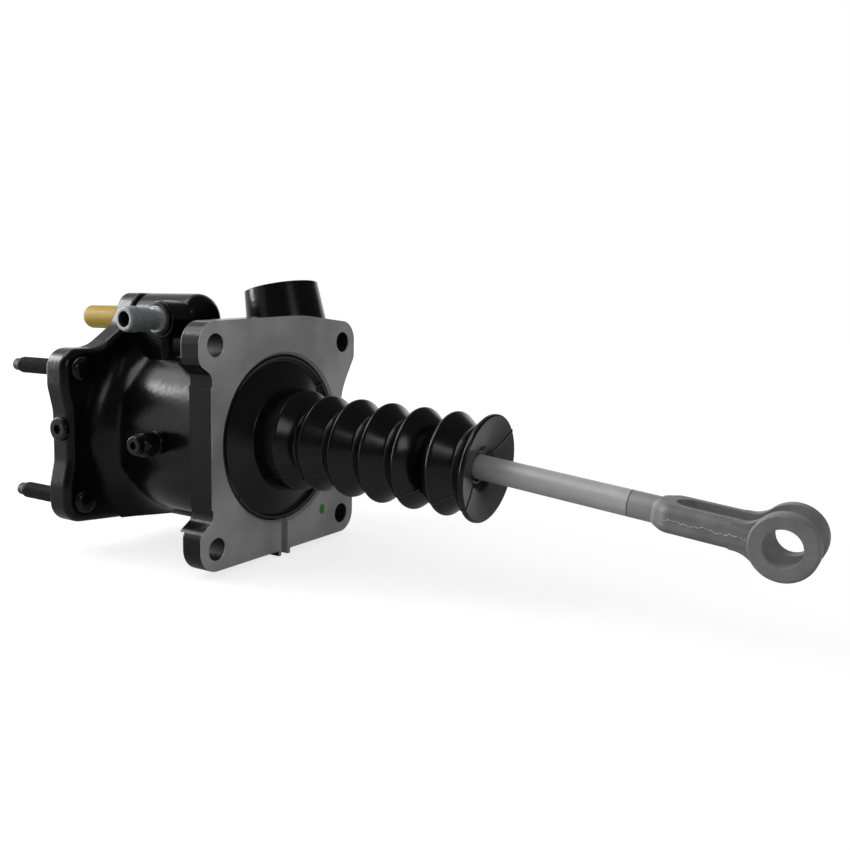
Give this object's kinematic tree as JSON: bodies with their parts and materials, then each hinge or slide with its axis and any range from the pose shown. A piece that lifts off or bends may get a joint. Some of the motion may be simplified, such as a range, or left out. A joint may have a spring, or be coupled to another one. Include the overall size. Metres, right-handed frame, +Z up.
{
  "type": "hydraulic brake booster",
  "caption": "Hydraulic brake booster: cast housing with a square rear flange, stud plate in front, ribbed rubber boot, and a bent push rod ending in a clevis.",
  "frame": {"origin": "centre of the four mounting holes on the rear flange's machined face", "axes": "+X along the booster's axis towards the brake pedal, +Z up, -Y towards the hose barb"},
  "size_m": [0.4371, 0.1566, 0.1599],
  "materials": {
    "cast_black": "gloss black paint, rear face machined bare grey",
    "stud_phosphate": "dark phosphate",
    "seal_rubber": "smooth moulded",
    "zinc_barb": "satin zinc",
    "plated_fitting": "satin zinc",
    "cap_amber": "translucent amber",
    "valve_steel": "ground",
    "spring_steel": "oiled",
    "black_plug": "gloss black",
    "copper_washer": "plain",
    "piston_aluminium": "turned",
    "guide_band": "filled polymer",
    "ground_steel": "ground",
    "rod_steel": "satin grey",
    "clevis_forged": "as forged, matte grey",
    "boot_rubber": "semi-gloss moulded"
  },
  "bodies": {
    "housing": {"booster_housing": "cast_black", "master_cylinder_studs": "stud_phosphate", "master_cylinder_o_ring": "seal_rubber", "return_barb_seal": "seal_rubber", "inlet_fitting_seal": "seal_rubber", "pump_port_seal": "seal_rubber", "output_rod_seal": "seal_rubber", "end_plug_o_ring": "seal_rubber", "input_piston_seal": "seal_rubber", "return_hose_barb": "zinc_barb", "pressure_inlet_fitting": "plated_fitting", "protective_cap": "cap_amber", "flow_shuttle_spring": "spring_steel", "check_spring": "spring_steel", "return_spring": "spring_steel", "retaining_ring": "spring_steel", "side_port_plug": "black_plug", "plate_edge_plug": "black_plug", "pump_port_plug": "black_plug", "side_plug_washer": "copper_washer", "input_end_plug": "piston_aluminium", "boot": "boot_rubber"},
    "power_piston": {"power_piston": "piston_aluminium", "power_piston_seal": "seal_rubber", "piston_guide_ring": "guide_band", "output_push_rod": "ground_steel"},
    "input_piston": {"input_piston": "ground_steel", "rod_retainer": "seal_rubber", "throttle_spring": "spring_steel"},
    "throttle_poppet": {"throttle_poppet": "valve_steel"},
    "pedal_rod": {"pedal_push_rod": "rod_steel", "clevis": "clevis_forged"},
    "flow_shuttle": {"flow_shuttle": "valve_steel"},
    "check_ball": {"check_ball": "valve_steel"}
  },
  "joints": [
    {"name": "input_slide", "type": "slide", "parent": "housing", "child": "input_piston", "axis": [-1, 0, 0], "range_m": [0, 0.035], "deforming": ["boot"]},
    {"name": "power_piston_slide", "type": "slide", "parent": "housing", "child": "power_piston", "axis": [-1, 0, 0], "range_m": [0, 0.035], "stiffness_N_per_m": 2000, "springref_m": -0.012, "deforming": ["return_spring"]},
    {"name": "rod_tilt", "type": "hinge", "parent": "input_piston", "child": "pedal_rod", "pos_m": [-0.001, 0, 0], "axis": [0, 1, 0], "range_deg": [-3, 3]},
    {"name": "throttle_travel", "type": "slide", "parent": "input_piston", "child": "throttle_poppet", "axis": [1, 0, 0], "range_m": [0, 0.002], "stiffness_N_per_m": 500, "deforming": ["throttle_spring"]},
    {"name": "flow_shuttle_travel", "type": "slide", "parent": "housing", "child": "flow_shuttle", "axis": [1, 0, 0], "range_m": [0, 0.006], "stiffness_N_per_m": 200, "deforming": ["flow_shuttle_spring"]},
    {"name": "check_ball_lift", "type": "slide", "parent": "housing", "child": "check_ball", "axis": [0, -1, 0], "range_m": [0, 0.002], "stiffness_N_per_m": 200, "deforming": ["check_spring"]}
  ],
  "couplings": [
    {"joint": "power_piston_slide", "follows": "input_slide", "ratio": 1}
  ]
}
